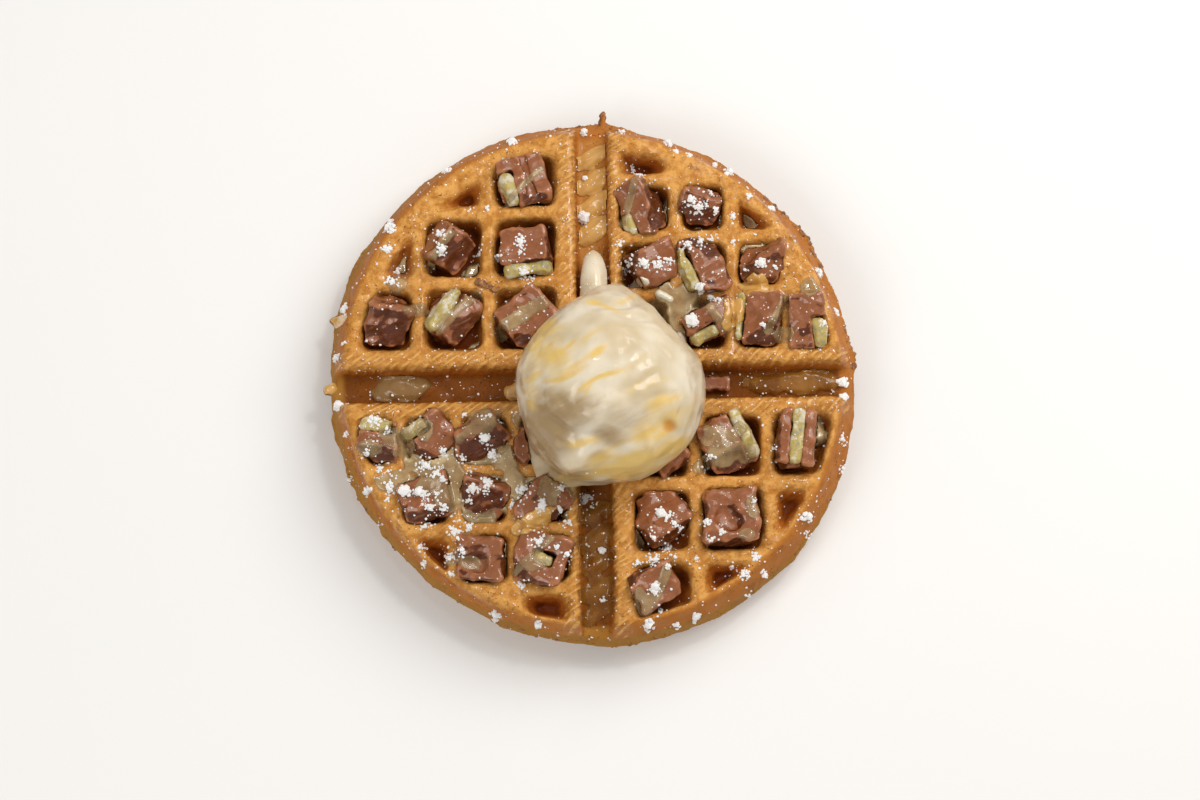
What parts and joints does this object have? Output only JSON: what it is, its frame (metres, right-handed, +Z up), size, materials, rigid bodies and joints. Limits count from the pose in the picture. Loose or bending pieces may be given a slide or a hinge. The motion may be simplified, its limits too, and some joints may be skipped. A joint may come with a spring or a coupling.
{
  "type": "waffle",
  "caption": "Round deep-pocket waffle in four quarters with a scoop of ice cream, broken filled chocolate, caramel and powdered sugar.",
  "frame": {"origin": "middle of the footprint, on the plane that the waffle lies on", "axes": "+Z up out of the topped face, +Y away from the viewer of the picture, +X to the right"},
  "size_m": [0.1817, 0.1844, 0.073],
  "materials": {
    "waffle": "golden baked batter with glossy caramel strands and powdered sugar",
    "ice_cream": "cream-white ice cream with caramel swirls, wet where it melts",
    "chocolate": "milk chocolate, matt where it is broken and glossy where it was moulded",
    "filling": "pale greenish cream filling"
  },
  "bodies": {
    "root": {"chocolate_01": "chocolate", "chocolate_02": "chocolate", "chocolate_03": "chocolate", "chocolate_04": "chocolate", "chocolate_05": "chocolate", "chocolate_06": "chocolate", "chocolate_07": "chocolate", "chocolate_08": "chocolate", "chocolate_09": "chocolate", "chocolate_10": "chocolate", "chocolate_11": "chocolate", "chocolate_12": "chocolate", "chocolate_13": "chocolate", "chocolate_14": "chocolate", "chocolate_15": "chocolate", "chocolate_16": "chocolate", "chocolate_17": "chocolate", "chocolate_18": "chocolate", "chocolate_19": "chocolate", "chocolate_20": "chocolate", "chocolate_21": "chocolate", "chocolate_22": "chocolate", "chocolate_23": "chocolate", "chocolate_24": "chocolate", "chocolate_25": "chocolate", "chocolate_26": "chocolate", "chocolate_27": "chocolate", "chocolate_28": "chocolate", "chocolate_29": "chocolate", "chocolate_30": "chocolate", "filling_01": "filling", "filling_02": "filling", "filling_05": "filling", "filling_07": "filling", "filling_10": "filling", "filling_12": "filling", "filling_13": "filling", "filling_14": "filling", "filling_15": "filling", "filling_16": "filling", "filling_23": "filling", "filling_24": "filling", "filling_25": "filling", "ice_cream": "ice_cream", "waffle": "waffle"}
  },
  "joints": []
}
